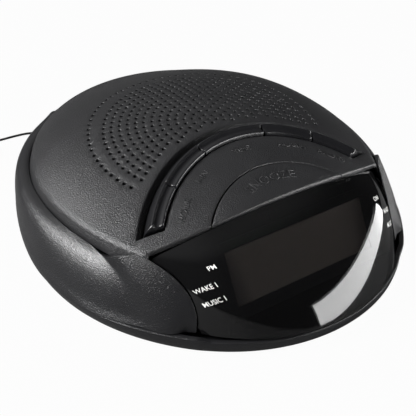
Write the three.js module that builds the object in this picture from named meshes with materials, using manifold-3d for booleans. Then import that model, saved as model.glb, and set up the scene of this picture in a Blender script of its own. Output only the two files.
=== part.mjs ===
// Clock radio with a domed top, a row of five arched keys, a wide snooze key, a tilted
// smoked front lens and bulging side cheeks. Millimetres, +Z up, front towards -Y.
// The origin is the middle of the object's footprint on the surface it stands on.
import * as THREE from 'three';
import { mergeVertices } from 'three/addons/utils/BufferGeometryUtils.js';
import Module from 'manifold-3d';

const wasm = await Module();
wasm.setup();

// ---------------------------------------------------------------- driving dimensions
const GAP = 0.4; // clearance between neighbouring pieces
const WALL = 2.2; // thickness of the moulded shells
const FOOT = 2.5; // height of the rubber feet
const HEIGHT = 57.5; // highest point of the dome

const BACK_SHIFT = -6.9; // moves the finished body so that its footprint is centred

// Outlines in plan: half width, and reach in front of and behind their widest place.
const EDGE = { half: 78.2, front: 100, back: 79.3, centre: 19.4 }; // where the dome ends
const WAIST = { half: 89, front: 95.5, back: 97.5, centre: 8.1 }; // widest bulge of the sides
const BASE = { half: 88, front: 96, back: 91, centre: 5 };
const EDGE_Z = 37.3; // height of the dome's edge at the sides
const WALL_OUT = 2; // the wall under that edge leans out by this
const WALL_DROP = 6; // and is this high
const WAIST_Z = 16; // height of the bulge at the sides
const WAIST_FALL = 12.5; // it falls this much from there to the front
const PROUD = 2.2; // the cheeks stand out by this; the rear panel runs out to meet them
const SHOULDER = 3.5; // how far the cheeks swell out below the cover
const SHOULDER_END = 0.5; // the share of their height that this takes up
const RIM_SIDE = 9.4; // height of the base rim at the sides
const RIM_FRONT = 7.8; // and under the lens

const CROWN_Y = 27.8; // highest point of the dome
const CROWN = 0.00268; // its curvature across and along
const CROWN_LIFT = 1.35e-5; // raises the front of the dome against a plain bowl
const CROWN_ROLL = 4.4e-8; // and rolls it over again at its ends

const ARC_Y = -77.1; // centre of the arcs that lay out the keys
const SNOOZE_R = 46.5; // rear arc of the snooze key
const KEY_IN = 65; // inner edge of the row of arched keys
const KEY_OUT = 73.6; // outer edge of the keys
const MOAT_OUT = 76.4; // outer edge of the channel around them
const KEY_ENDS = [-50.6, -34.3, -14.2, 14.2, 34.3, 50.6]; // where each key ends, in degrees
const END_SPLAY = 0.27; // the row's two ends splay out by this, in degrees for each mm
const KEY_NAMES = ['hour', 'minute', 'time', 'alarm', 'radio'];
const KEY_RISE = 2.8; // how far the keys stand above the dome
const KEY_TRAVEL = 1.2; // how far a key goes down

const BROW_Y = -49.2; // front edge of the dome at the middle
const BROW_BEND = 0.00226; // how much it bends back towards its ends
const BROW_X = 61; // half width of that edge
const LIP_R = 69; // arc of the lens's lower edge
const LIP_Y = -23; // and its centre
const LIP_X = 54; // half width of that edge
const LIP_Z = 9.2;
const LENS_T = 1.6;
const LENS_LOW = 1.5; // its upper edge lies this far under the brow
const LENS_CORNER = 1.2; // and its upper corners are this much lower again

const WINDOW_W = 72; // display window
const WINDOW_H = 23;
const WINDOW_Y = -63; // its middle
const WINDOW_Z = 25.8;
const WINDOW_TILT = THREE.MathUtils.degToRad(28); // leans back by this angle
// Outline of the bezel round the window, across and up from the window's middle.
const BEZEL = [
  [-46, -17], [46, -17], [50, -4], [52, 6], [48, 12], [-48, 12], [-52, 6], [-50, -4],
];

const HOLE_Y = 8.2; // centre of the rings of sound holes
const HOLE_PITCH = 9.3; // distance from ring to ring, and from hole to hole
const HOLE_RINGS = 4;
const HOLE_W = 2; // width of one hole
const GRILLE_CLEAR = 80; // holes stay this far from the keys' centre

const POST_Z = 5.2; // lower end of the screw posts under the cover
const SPEAKER_Y = 24;
const SPEAKER_R = 30;
const SPEAKER_Z = 37; // top of the speaker's flange
const BOARD_Z = 8; // underside of the main board
const KEY_BOARD_Z = 27; // underside of the board below the keys
const BOARD_T = 1.6;
const SWITCH_H = 4.3; // height of a switch with its plunger

const BATTERY = { x: 16, y: 60, width: 48, depth: 26, height: 17 };
const REAR_Y = 98.6; // outer face of the rear panel at the outlets
const OUTLET_Z = 15.5; // height of the outlets in the rear panel
const GLAND_X = 28; // mains lead's outlet
const WIRE_X = -27; // aerial wire's outlet
const WIRE_D = 1.3;
const COIL = { x: -77, y: 131.6, inner: 4, outer: 10, height: 6 }; // the wire's spare length
// Route of the wire from its outlet, down to the table and along it to the coil.
const WIRE_ROUTE = [
  [-27, 101.2, 15.5], [-27, 104, 15.1], [-27.2, 107.5, 13.2], [-27.7, 112.5, 9.2],
  [-28.5, 117.5, 4.6], [-29.5, 122.5, 1.7], [-31, 127.5, 0.75], [-33.5, 132.5, 0.7],
  [-37.5, 137, 0.7], [-43, 139.9, 0.7], [-50, 141, 0.7], [-58, 141.3, 0.7],
  [-65, 141.4, 0.7], [-70.6, 141.3, 0.7],
];
const FOOT_SPOTS = [[-52, -42], [52, -42], [-52, 54], [52, 54]];
const SCREW_SPOTS = [[-66, -8], [66, -8], [-47.5, 73], [47.5, 73]];
const RIGHT = 1;
const LEFT = -1;

// ------------------------------------------------------------------------- materials
const material = (color, roughness, metalness = 0) =>
  new THREE.MeshStandardMaterial({ color, roughness, metalness });
const casePlastic = () => material(0x2c2c2e, 0.55);
const keyPlastic = () => material(0x343437, 0.32);
const innerPlastic = () => material(0x1c1c1e, 0.6);
const boardGreen = () => material(0x2f5a35, 0.5);
const steel = () => material(0x9a9a9c, 0.35, 1);
const rubber = () => material(0x161616, 0.85);

// ------------------------------------------------------------------- solid modelling
const assembly = new THREE.Group();

// Turns every face outwards when the body came out inside out.
function facingOut(positions, index) {
  const [a, b, c] = [new THREE.Vector3(), new THREE.Vector3(), new THREE.Vector3()];
  let volume = 0;
  for (let i = 0; i < index.length; i += 3) {
    a.fromArray(positions, 3 * index[i]);
    b.fromArray(positions, 3 * index[i + 1]);
    c.fromArray(positions, 3 * index[i + 2]);
    volume += a.dot(b.cross(c));
  }
  if (volume < 0) {
    for (let i = 0; i < index.length; i += 3) {
      [index[i], index[i + 1]] = [index[i + 1], index[i]];
    }
  }
  const geometry = new THREE.BufferGeometry();
  geometry.setAttribute('position', new THREE.Float32BufferAttribute(positions, 3));
  geometry.setIndex(index);
  return geometry;
}

// A closed body from a stack of rings, closed at both ends by a fan.
function loft(rings) {
  const positions = [];
  const index = [];
  const count = rings[0].length;
  rings.forEach((ring) => ring.forEach((p) => positions.push(p.x, p.y, p.z)));
  for (let k = 0; k + 1 < rings.length; k += 1) {
    for (let i = 0; i < count; i += 1) {
      const j = (i + 1) % count;
      const [a, b] = [k * count + i, k * count + j];
      index.push(a, b, b + count, a, b + count, a + count);
    }
  }
  [[0, true], [rings.length - 1, false]].forEach(([k, first]) => {
    const middle = new THREE.Vector3();
    rings[k].forEach((p) => middle.addScaledVector(p, 1 / count));
    const hub = positions.length / 3;
    positions.push(middle.x, middle.y, middle.z);
    for (let i = 0; i < count; i += 1) {
      const [a, b] = [k * count + i, k * count + ((i + 1) % count)];
      index.push(hub, ...(first ? [b, a] : [a, b]));
    }
  });
  return facingOut(positions, index);
}

// A closed skin of even thickness behind surface(u, v), with u and v from 0 to 1.
function skin(surface, thickness, across, along, lead = 0) {
  const step = 1e-3;
  const grid = [lead, thickness].map((depth) => {
    const rows = [];
    for (let i = 0; i <= across; i += 1) {
      for (let j = 0; j <= along; j += 1) {
        const [u, v] = [i / across, j / along];
        const [du, dv] = [u > 0.5 ? -step : step, v > 0.5 ? -step : step];
        const here = surface(u, v);
        const toU = surface(u + du, v).sub(here).multiplyScalar(Math.sign(du));
        const toV = surface(u, v + dv).sub(here).multiplyScalar(Math.sign(dv));
        rows.push(here.addScaledVector(toU.cross(toV).normalize(), depth));
      }
    }
    return rows;
  });
  const positions = grid.flat().flatMap((p) => [p.x, p.y, p.z]);
  const index = [];
  const size = (across + 1) * (along + 1);
  const at = (i, j, side) => side * size + i * (along + 1) + j;
  const quad = (a, b, c, d) => index.push(a, b, c, a, c, d);
  for (let i = 0; i < across; i += 1) {
    for (let j = 0; j < along; j += 1) {
      quad(at(i, j, 0), at(i + 1, j, 0), at(i + 1, j + 1, 0), at(i, j + 1, 0));
      quad(at(i, j, 1), at(i, j + 1, 1), at(i + 1, j + 1, 1), at(i + 1, j, 1));
    }
    quad(at(i, 0, 0), at(i, 0, 1), at(i + 1, 0, 1), at(i + 1, 0, 0));
    quad(at(i, along, 0), at(i + 1, along, 0), at(i + 1, along, 1), at(i, along, 1));
  }
  for (let j = 0; j < along; j += 1) {
    quad(at(0, j, 0), at(0, j + 1, 0), at(0, j + 1, 1), at(0, j, 1));
    quad(at(across, j, 0), at(across, j, 1), at(across, j + 1, 1), at(across, j + 1, 0));
  }
  return facingOut(positions, index);
}

function solid(geometry) {
  const bare = geometry.clone();
  bare.deleteAttribute('normal');
  bare.deleteAttribute('uv');
  const merged = mergeVertices(bare, 1e-4);
  return new wasm.Manifold(new wasm.Mesh({
    numProp: 3,
    vertProperties: new Float32Array(merged.attributes.position.array),
    triVerts: new Uint32Array(merged.index.array),
  }));
}

function geometryOf(body) {
  const mesh = body.getMesh();
  const geometry = new THREE.BufferGeometry();
  geometry.setAttribute('position', new THREE.BufferAttribute(mesh.vertProperties, 3));
  geometry.setIndex(new THREE.BufferAttribute(mesh.triVerts, 1));
  return geometry;
}

const cut = (body, ...tools) => tools.reduce((rest, tool) => rest.subtract(tool), body);
const join = (body, ...others) => others.reduce((whole, other) => whole.add(other), body);

// Plain bodies given by their middle in plan and their underside.
function block(width, depth, height, x, y, z) {
  return new THREE.BoxGeometry(width, depth, height).translate(x, y, z + height / 2);
}

function disc(radius, height, x, y, z, sides = 20, topRadius = radius) {
  return new THREE.CylinderGeometry(topRadius, radius, height, sides)
    .rotateX(Math.PI / 2).translate(x, y, z + height / 2);
}

function prism(points, low, high) {
  const shape = new THREE.Shape(points);
  return new THREE.ExtrudeGeometry(shape, { depth: high - low, bevelEnabled: false })
    .translate(0, 0, low);
}

function turned(profile, x, y, sides = 24) {
  const points = profile.map(([r, z]) => new THREE.Vector2(r, z));
  return new THREE.LatheGeometry(points, sides).rotateX(Math.PI / 2).translate(x, y, 0);
}

function add(name, shape, look) {
  const geometry = shape instanceof THREE.BufferGeometry ? shape : geometryOf(shape);
  const mesh = new THREE.Mesh(geometry, look);
  mesh.name = name;
  assembly.add(mesh);
  return mesh;
}

// ------------------------------------------------------------------ the body's shape
const { smoothstep, degToRad } = THREE.MathUtils;

// Height of the dome over a point in plan.
function domeZ(x, y) {
  const u = y - CROWN_Y;
  const bowl = CROWN * (x * x + u * u);
  const lift = CROWN_LIFT * (x * x * u - u * u * u);
  return HEIGHT - bowl + lift + CROWN_ROLL * (x ** 4 - u ** 4);
}

const browY = (x) => BROW_Y + BROW_BEND * x * x;

// A point of an outline; the angle runs from the front round by the left side.
function onOutline({ half, front, back, centre }, angle, z = 0, grow = 0) {
  const [s, c] = [Math.sin(degToRad(angle)), Math.cos(degToRad(angle))];
  const reach = (c > 0 ? front : back) + grow;
  return new THREE.Vector3(-(half + grow) * s, centre - reach * c, z);
}

const frontness = (angle) => Math.cos(degToRad(angle));
const edgeZ = (angle) => EDGE_Z - 1.5 * frontness(angle) - 3.4 * frontness(angle) ** 3;
const wallFoot = (angle) => edgeZ(angle) - WALL_DROP;
const waistZ = (angle) => WAIST_Z - WAIST_FALL * frontness(angle) + 2 * frontness(angle) ** 2;
const fromFront = (angle) => Math.abs(((angle + 180) % 360 + 360) % 360 - 180);
const rimTop = (angle) =>
  RIM_SIDE + (RIM_FRONT - RIM_SIDE) * (1 - smoothstep(fromFront(angle), 34, 42));
// How far the sides stand out, fading away towards the middle of the rear.
const proud = (angle) => PROUD * (1 - smoothstep(fromFront(angle), 150, 172));

const sideFlare = (angle) =>
  smoothstep(fromFront(angle), 34, 42) * (0.3 + 0.7 * smoothstep(fromFront(angle), 45, 75));
const rimFlare = (angle) => 0.7 * smoothstep(fromFront(angle), 150, 172);

const ring = (sides, point) => Array.from({ length: sides }, (_, i) => point((360 * i) / sides));

// Height of the outer face of the dome, which bends down or up to meet its edge.
function coverZ(x, y) {
  const along = (EDGE.centre - y) / (y < EDGE.centre ? EDGE.front : EDGE.back);
  const reach = Math.min(Math.hypot(x / EDGE.half, along), 1);
  const angle = THREE.MathUtils.radToDeg(Math.atan2(Math.abs(x) / EDGE.half, along));
  const rim = onOutline(EDGE, angle);
  return domeZ(x, y) + (edgeZ(angle) - domeZ(rim.x, rim.y)) * reach ** 8;
}

// A layer of the dome between two heights above its surface.
function domeLayer(above, below, share = 0.97, sides = 44) {
  const side = (offset) => [0.18, 0.36, 0.54, 0.72, 0.87, 1].map((k) => ring(sides, (angle) => {
    const edge = onOutline(EDGE, angle);
    const [x, y] = [k * share * edge.x, EDGE.centre + k * share * (edge.y - EDGE.centre)];
    return new THREE.Vector3(x, y, coverZ(x, y) + offset);
  }));
  return solid(loft([...side(above), ...side(below).reverse()]));
}

// Outline of a band between two arcs about the keys' centre; its ends may splay outwards.
function band(inner, outer, start, end, steps = 12, splay = [0, 0]) {
  const arc = (radius) => Array.from({ length: steps + 1 }, (_, i) => {
    const [from, to] = [start - splay[0] * (radius - inner), end + splay[1] * (radius - inner)];
    const angle = degToRad(from + ((to - from) * i) / steps);
    return new THREE.Vector2(radius * Math.sin(angle), ARC_Y + radius * Math.cos(angle));
  });
  return [...arc(outer), ...arc(inner).reverse()];
}

// Outline of the snooze key: a rear arc and the brow in front.
function snoozeOutline(radius, front) {
  const half = 36.6 - (SNOOZE_R - radius);
  const rear = band(0, radius, -128, 128, 40).slice(0, 41).filter((p) => p.y > browY(p.x) + front);
  const brow = Array.from({ length: 9 }, (_, i) => half * (1 - i / 4))
    .map((x) => new THREE.Vector2(x, browY(x) + front));
  return [...rear, ...brow.filter((p) => Math.hypot(p.x, p.y - ARC_Y) < radius - 0.05)];
}

// ------------------------------------------------------------------------- top cover
// Rings of the dome and its wall, a given distance inside the outer face.
function coverRings(inset, drop = 0) {
  const sides = 60;
  const dome = [0.18, 0.36, 0.54, 0.7, 0.83, 0.93, 0.985].map((k) => ring(sides, (angle) => {
    const edge = onOutline(EDGE, angle, 0, -inset);
    const [x, y] = [k * edge.x, EDGE.centre + k * (edge.y - EDGE.centre)];
    return new THREE.Vector3(x, y, coverZ(x, y) - inset);
  }));
  const shoulder = ring(sides, (angle) => onOutline(EDGE, angle, edgeZ(angle) - 1.2 - inset,
    0.4 - inset));
  const foot = ring(sides, (angle) => onOutline(EDGE, angle, wallFoot(angle) - drop,
    WALL_OUT - inset));
  return [...dome, shoulder, foot];
}

const coverShell = () => solid(loft([...coverRings(0), ...coverRings(WALL).reverse()]));
// The space that the cover takes up, with the clearance around it.
const coverSpace = () => solid(loft(coverRings(-GAP, GAP)));

function frontCutter() {
  const steps = Array.from({ length: 17 }, (_, i) => BROW_X * (i / 8 - 1));
  const brow = steps.map((x) => new THREE.Vector2(x, browY(x)));
  return [new THREE.Vector2(-BROW_X, -120), new THREE.Vector2(BROW_X, -120), ...brow.reverse()];
}

// The largest body that a cut leaves.
const mainBody = (body) => body.decompose().reduce((a, b) => (a.volume() > b.volume() ? a : b));

function soundHoles() {
  const holes = [];
  for (let k = 0; k <= HOLE_RINGS; k += 1) {
    const count = Math.max(1, 6 * k);
    for (let i = 0; i < count; i += 1) {
      const angle = (2 * Math.PI * i) / count;
      const [x, y] = [k * HOLE_PITCH * Math.sin(angle), HOLE_Y + k * HOLE_PITCH * Math.cos(angle)];
      if (Math.hypot(x, y - ARC_Y) > GRILLE_CLEAR) {
        holes.push(solid(disc(HOLE_W / 2, 30, x, y, HEIGHT - 25, 4)));
      }
    }
  }
  return join(...holes);
}

function buildCover() {
  const channel = prism(band(KEY_IN, MOAT_OUT, -51.4, 51.4, 20, [END_SPLAY, END_SPLAY]), 20, 70);
  const opening = prism(snoozeOutline(SNOOZE_R, -3), 20, 70);
  const posts = SCREW_SPOTS.map(([x, y]) =>
    solid(disc(3.6, coverZ(x, y) - 2 - POST_Z, x, y, POST_Z, 16)));
  const bores = SCREW_SPOTS.map(([x, y]) => solid(disc(1.6, 14, x, y, 0, 12)));
  const shell = cut(join(coverShell(), ...posts), solid(prism(frontCutter(), 0, 80)),
    solid(channel), solid(opening), soundHoles(), ...bores);
  add('top_cover', mainBody(shell), casePlastic());

  const carrier = domeLayer(-5.2, -6.8, 0.93).intersect(
    solid(prism(band(58, 79, -56, 56, 20), 20, 70)));
  const stemHoles = KEY_NAMES.map((_, i) => {
    const p = keyPoint(i, 68);
    return solid(block(7, 5, 60, 0, 0, 10).rotateZ(-keyAngle(i)).translate(p.x, p.y, 0));
  });
  add('key_carrier', cut(carrier, ...stemHoles), innerPlastic());
}

// ------------------------------------------------------------------------------ keys
const keyAngle = (i) => degToRad((KEY_ENDS[i] + KEY_ENDS[i + 1]) / 2);
const keyPoint = (i, radius) => new THREE.Vector3(
  radius * Math.sin(keyAngle(i)), ARC_Y + radius * Math.cos(keyAngle(i)), 0);

function buildKeys() {
  const layer = domeLayer(KEY_RISE, -3);
  const halfGap = degToRad(0.35);
  KEY_NAMES.forEach((name, i) => {
    const trim = THREE.MathUtils.radToDeg(halfGap);
    const splay = [i === 0 ? END_SPLAY : 0, i === KEY_NAMES.length - 1 ? END_SPLAY : 0];
    const outline = band(KEY_IN + GAP, KEY_OUT, KEY_ENDS[i] + trim, KEY_ENDS[i + 1] - trim, 8,
      splay);
    const cap = layer.intersect(solid(prism(outline, 20, 70)));
    const p = keyPoint(i, 68);
    const foot = KEY_BOARD_Z + BOARD_T + SWITCH_H + KEY_TRAVEL + 0.3;
    const head = domeZ(p.x, p.y) - 1;
    const stem = block(4, 3, head - foot, 0, 0, foot).rotateZ(-keyAngle(i)).translate(p.x, p.y, 0);
    add(`key_${name}`, join(cap, solid(stem)), keyPlastic());
  });

  const plate = domeLayer(0, -3).intersect(solid(prism(snoozeOutline(SNOOZE_R - GAP, 0), 20, 70)));
  const lip = solid(block(62, 1.6, 4, 0, BROW_Y + 3.4, domeZ(0, BROW_Y) - 6)); // stiffener
  const foot = KEY_BOARD_Z + BOARD_T + SWITCH_H + KEY_TRAVEL + 0.3;
  const stem = solid(block(5, 4, domeZ(0, -38) - 1 - foot, 0, -38, foot));
  add('snooze_key', join(plate, lip, stem), keyPlastic());
}

// ------------------------------------------------------------------- cheeks and rear
const RIM_FOOT = 6.4; // the shells would end at this height; the base rim cuts them off
const SIDE_STATIONS = [150, 135, 120, 105, 90, 76, 64];

// Three lines round the body: under the dome's wall, along the bulge and on the base rim.
const sideTop = (angle) => onOutline(EDGE, angle, wallFoot(angle) - GAP, WALL_OUT);
const sideWaist = (angle) => onOutline(WAIST, angle, waistZ(angle));
const sideFoot = (angle) => onOutline(BASE, angle, RIM_FOOT, 0.3);

// A curved strip through three lines, at v from 0 to 1.
function through(a, m, b, v) {
  const pull = m.clone().multiplyScalar(2).addScaledVector(a, -0.5).addScaledVector(b, -0.5);
  return a.clone().multiplyScalar((1 - v) ** 2).addScaledVector(pull, 2 * v * (1 - v))
    .addScaledVector(b, v * v);
}

// The left cheek's lines go on from the side to its front tip beside the lens.
const CHEEK_TIP = {
  top: [new THREE.Vector3(-70.2, -31.5, 33), new THREE.Vector3(-62.4, -39.6, 34.2)],
  waist: [new THREE.Vector3(-70.4, -47.9, 10.8), new THREE.Vector3(-64.3, -56.2, 12.5),
    new THREE.Vector3(-53.6, -56.6, 25.4)],
  foot: [new THREE.Vector3(-67.4, -52.8, 6.4), new THREE.Vector3(-53.6, -64.3, 9.4)],
};
const CHEEK_LINES = Object.entries({ top: sideTop, waist: sideWaist, foot: sideFoot })
  .map(([name, line]) => new THREE.CatmullRomCurve3(
    [...SIDE_STATIONS.map(line), ...CHEEK_TIP[name]], false, 'centripetal'));

// Rises from 0 to 1 and falls back to 0 more slowly, for s from 0 to 1.
const hump = (s) => (27 / 4) * s * (1 - s) ** 2;

// Below the cover a cheek swells out square to its slope, least at its two ends.
function shoulder(top, waist, along, v) {
  const slope = waist.clone().sub(top);
  const flat = Math.hypot(slope.x, slope.y);
  const out = new THREE.Vector3(-slope.x * slope.z / flat, -slope.y * slope.z / flat, flat);
  const ends = smoothstep(along, 0, 0.35) * (1 - smoothstep(along, 0.8, 1));
  return out.setLength(SHOULDER * ends * hump(Math.min(v / SHOULDER_END, 1)));
}

function cheekSurface(side) {
  return (u, v) => {
    const along = Math.min(Math.max(u, 0), 1);
    const [top, waist, foot] = CHEEK_LINES.map((line) => line.getPointAt(along));
    const p = through(top, waist, foot, v).add(shoulder(top, waist, along, v));
    p.x *= -side;
    return p;
  };
}

function buildSides() {
  const under = solid(block(200, 260, RIM_SIDE + GAP, 0, 0, 0));
  [['left', LEFT], ['right', RIGHT]].forEach(([name, side]) => {
    const shell = solid(skin(cheekSurface(side), WALL * side, 24, 10));
    add(`${name}_cheek`, mainBody(cut(shell, coverSpace(), lensSpace(), under)), casePlastic());
  });
  const rear = (u, v) => {
    const angle = 150.4 + 59.2 * u;
    const out = proud(angle);
    return through(onOutline(EDGE, angle, wallFoot(angle) - GAP, WALL_OUT + out),
      onOutline(WAIST, angle, waistZ(angle), out),
      onOutline(BASE, angle, RIM_FOOT, 0.3 + out), v);
  };
  const panel = cut(solid(skin(rear, -WALL, 14, 7)), under);
  const bore = (radius, x, z) => solid(disc(radius, 40, 0, 0, -20, 16)
    .rotateX(Math.PI / 2).translate(x, REAR_Y, z));
  add('rear_panel', cut(panel, bore(4.4, GLAND_X, OUTLET_Z), bore(2.8, WIRE_X, OUTLET_Z)),
    casePlastic());
}

// ------------------------------------------------------------------------- base tray
function buildBase() {
  const sides = 60;
  // The rim runs out with the sides, so that it stays flush with the shells above it.
  const outline = (inset, z, share) => ring(sides, (a) => {
    const flare = sideFlare(a) * (proud(a) + 0.6 + rimFlare(a));
    return onOutline(BASE, a, z(a), flare * share - inset);
  });
  const flat = (z) => () => z;
  const tray = solid(loft([
    outline(1.2, flat(FOOT), 0), outline(0.2, flat(FOOT + 0.8), 0.4),
    outline(0, flat(RIM_FOOT), 0.85), outline(0, rimTop, 1),
    outline(WALL, rimTop, 1), outline(WALL + 0.6, flat(FOOT + WALL), 0.4),
  ]));
  const bay = solid(block(BATTERY.width + 1, BATTERY.depth + 1, 10, BATTERY.x, BATTERY.y, 0));
  const screwHoles = SCREW_SPOTS.map(([x, y]) => solid(disc(1.7, 10, x, y, 0, 12)));
  add('base_tray', cut(tray, bay, ...screwHoles), casePlastic());
  SCREW_SPOTS.forEach(([x, y], i) => {
    const shank = solid(disc(1.2, 12, x, y, FOOT - 1, 10));
    const head = solid(disc(2.8, 1.4, x, y, FOOT - 1.7, 14));
    add(`case_screw_${i + 1}`, join(shank, head), steel());
  });
  FOOT_SPOTS.forEach(([x, y]) => {
    const place = `${y < 0 ? 'front' : 'rear'}_${x < 0 ? 'left' : 'right'}`;
    add(`foot_${place}`, disc(6.5, FOOT - 0.3, x, y, 0, 24), rubber());
  });
}

// --------------------------------------------------------------- front lens, display
// u runs from the left end to the right, v from the brow down to the lower lip.
function lensSurface(u, v) {
  const t = 2 * u - 1;
  const xTop = (BROW_X - 0.6) * t;
  const under = LENS_LOW + LENS_CORNER * t ** 8;
  const high = new THREE.Vector3(xTop, browY(xTop) - GAP, domeZ(xTop, browY(xTop)) - under);
  const xLip = (LIP_X - 0.8) * t;
  const low = new THREE.Vector3(xLip, LIP_Y - Math.sqrt(LIP_R ** 2 - xLip ** 2), LIP_Z);
  const swell = 1 - t ** 12;
  const pull = high.clone().lerp(low, 0.5);
  pull.x -= 0.5 * t;
  pull.y -= 1.5 + 5.5 * swell;
  pull.z += 5 + 9 * swell;
  const p = high.multiplyScalar((1 - v) ** 2).addScaledVector(pull, 2 * v * (1 - v));
  return p.addScaledVector(low, v * v);
}

const buildLens = () => skin(lensSurface, LENS_T, 20, 9);
// The space that the lens takes up, with the clearance around it.
const lensSpace = () => solid(skin((u, v) => lensSurface(1.016 * u - 0.008, 1.02 * v - 0.01),
  LENS_T + GAP, 20, 9, -GAP));

function tilted(geometry, depth) {
  return geometry.rotateX(-WINDOW_TILT).translate(0,
    WINDOW_Y + depth * Math.cos(WINDOW_TILT), WINDOW_Z - depth * Math.sin(WINDOW_TILT));
}

const panel = (width, thickness, height, z = 0) =>
  new THREE.BoxGeometry(width, thickness, height).translate(0, 0, z);

function buildFront() {
  add('front_lens', buildLens(), material(0x0b0b0c, 0.06));
  const frame = tilted(prism(BEZEL.map(([x, z]) => new THREE.Vector2(x, z)), -0.6, 0.6)
    .rotateX(Math.PI / 2), 0.6);
  const opening = tilted(panel(WINDOW_W + 0.8, 9, WINDOW_H + 0.8), 0.6);
  add('display_bezel', mainBody(cut(solid(frame), solid(opening), lensSpace())),
    innerPlastic());
  add('display_filter', tilted(panel(WINDOW_W, 1, WINDOW_H), 0.9), material(0x4a3c30, 0.25));
  const module = solid(tilted(panel(WINDOW_W - 4, 6, WINDOW_H - 4), 5));
  add('led_display', module, material(0x201c1a, 0.4));
  add('display_board', tilted(panel(88, BOARD_T, WINDOW_H + 4), 9.4), boardGreen());
}

// -------------------------------------------------------------------------- interior
function buildSpeaker() {
  const z = SPEAKER_Z;
  add('speaker_frame', turned([
    [21, z - 14], [SPEAKER_R - 3, z - 2], [SPEAKER_R, z - 2], [SPEAKER_R, z],
    [SPEAKER_R - 3.4, z], [20.6, z - 12], [9, z - 12], [9, z - 14], [21, z - 14],
  ], 0, SPEAKER_Y), steel());
  add('speaker_cone', turned([
    [0, z - 9], [8.4, z - 9], [25, z - 0.8], [25, z - 0.2], [8, z - 8.2], [0, z - 8.2],
  ], 0, SPEAKER_Y), material(0x242322, 0.9));
  add('speaker_magnet', disc(19, 7, 0, SPEAKER_Y, z - 14.4 - 7, 32), material(0x3a3a3c, 0.5, 0.6));
  add('speaker_dust_cap', turned([
    [0, z - 7.8], [6.6, z - 7.8], [5, z - 5.6], [2.5, z - 4.8], [0, z - 4.6],
  ], 0, SPEAKER_Y, 20), material(0x1b1b1b, 0.8));
}

function buildBoards() {
  const sector = solid(prism(band(34, 71, -50, 50, 16), KEY_BOARD_Z, KEY_BOARD_Z + BOARD_T));
  const front = solid(block(150, 60, 20, 0, -76, KEY_BOARD_Z - 8));
  const speaker = solid(disc(SPEAKER_R + 1, 20, 0, SPEAKER_Y, KEY_BOARD_Z - 8, 32));
  add('key_board', cut(sector, front, speaker), boardGreen());
  const spots = [...KEY_NAMES.map((name, i) => [name, keyPoint(i, 68), keyAngle(i)]),
    ['snooze', new THREE.Vector3(0, -38, 0), 0]];
  spots.forEach(([name, p, angle]) => {
    const low = KEY_BOARD_Z + BOARD_T + 0.3;
    const body = solid(block(6, 6, SWITCH_H - 1.3, 0, 0, low));
    const plunger = solid(disc(1.7, SWITCH_H - 0.3, 0, 0, low, 10));
    const shape = geometryOf(join(body, plunger)).rotateZ(-angle).translate(p.x, p.y, 0);
    add(`switch_${name}`, shape, material(0x303032, 0.4));
  });

  add('main_board', block(104, 42, BOARD_T, 0, -22, BOARD_Z), boardGreen());
  const top = BOARD_Z + BOARD_T + 0.3;
  add('clock_chip', block(36, 13, 4, -18, -26, top), material(0x151515, 0.5));
  add('tuner_can', block(24, 18, 9, 24, -22, top), steel());
  add('filter_capacitor', disc(6, 13, -42, -10, top, 20), material(0x20242e, 0.4));
  add('ferrite_rod', new THREE.CylinderGeometry(4, 4, 76, 16)
    .rotateZ(Math.PI / 2).translate(0, 72, 33), material(0x3b3b3d, 0.7));
}

function buildPower() {
  const floor = FOOT + WALL + 0.3;
  const [x, y] = [-39, 49];
  const windows = [-1, 1].map((side) => solid(block(7, 40, 12, x + 10 * side, y, floor + 5)));
  add('transformer_core', cut(solid(block(38, 26, 22, x, y, floor)), ...windows), steel());
  ['left', 'right'].forEach((side, i) => {
    const winding = block(6.4, 34, 11.4, x + (i ? 10 : -10), y, floor + 5.3);
    add(`transformer_coil_${side}`, winding, material(0x8a4a22, 0.5));
  });

  const { width, depth, height } = BATTERY;
  add('backup_battery', block(width, depth, height, BATTERY.x, BATTERY.y, FOOT + 1.5),
    material(0x35383c, 0.4));
  const snap = block(2, 20, 10, BATTERY.x - width / 2 - 1.4, BATTERY.y, FOOT + WALL + 0.4);
  add('battery_clip', snap, material(0x151515, 0.6));
  add('battery_door', block(width + 8, depth + 4, 1.2, BATTERY.x, BATTERY.y, FOOT - 1.5),
    casePlastic());
}

function buildOutlets() {
  const across = (radius, from, to, x, sides = 16) =>
    new THREE.CylinderGeometry(radius, radius, to - from, sides)
      .translate(0, (from + to) / 2, 0).translate(x, 0, OUTLET_Z);
  const gland = join(solid(across(4, REAR_Y - 6, REAR_Y + 1, GLAND_X)),
    solid(across(5.4, REAR_Y + 0.9, REAR_Y + 3, GLAND_X)));
  add('mains_gland', gland, rubber());
  const grommet = join(solid(across(2.4, REAR_Y - 6, REAR_Y + 1, WIRE_X)),
    solid(across(3.2, REAR_Y + 0.9, REAR_Y + 2.3, WIRE_X)));
  add('aerial_grommet', grommet, rubber());

  const route = new THREE.CatmullRomCurve3(WIRE_ROUTE.map((p) => new THREE.Vector3(...p)));
  const section = new THREE.Shape(Array.from({ length: 8 }, (_, i) => new THREE.Vector2(
    (WIRE_D / 2) * Math.cos((Math.PI * i) / 4), (WIRE_D / 2) * Math.sin((Math.PI * i) / 4))));
  add('aerial_wire', new THREE.ExtrudeGeometry(section, { steps: 26, extrudePath: route }),
    material(0x1a1a1a, 0.5));
  const { inner, outer, height } = COIL;
  add('aerial_coil', turned([[inner, 0.05], [outer, 0.05], [outer, height], [inner, height],
    [inner, 0.05]], COIL.x, COIL.y, 24), material(0x1a1a1a, 0.5));
}

buildCover();
buildKeys();
buildSides();
buildBase();
buildFront();
buildSpeaker();
buildBoards();
buildPower();
buildOutlets();

assembly.position.y = BACK_SHIFT;

export default assembly;
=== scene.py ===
"""Looks of the clock radio: camera and light, the aerial wire, fine shells, materials."""

import math

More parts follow.
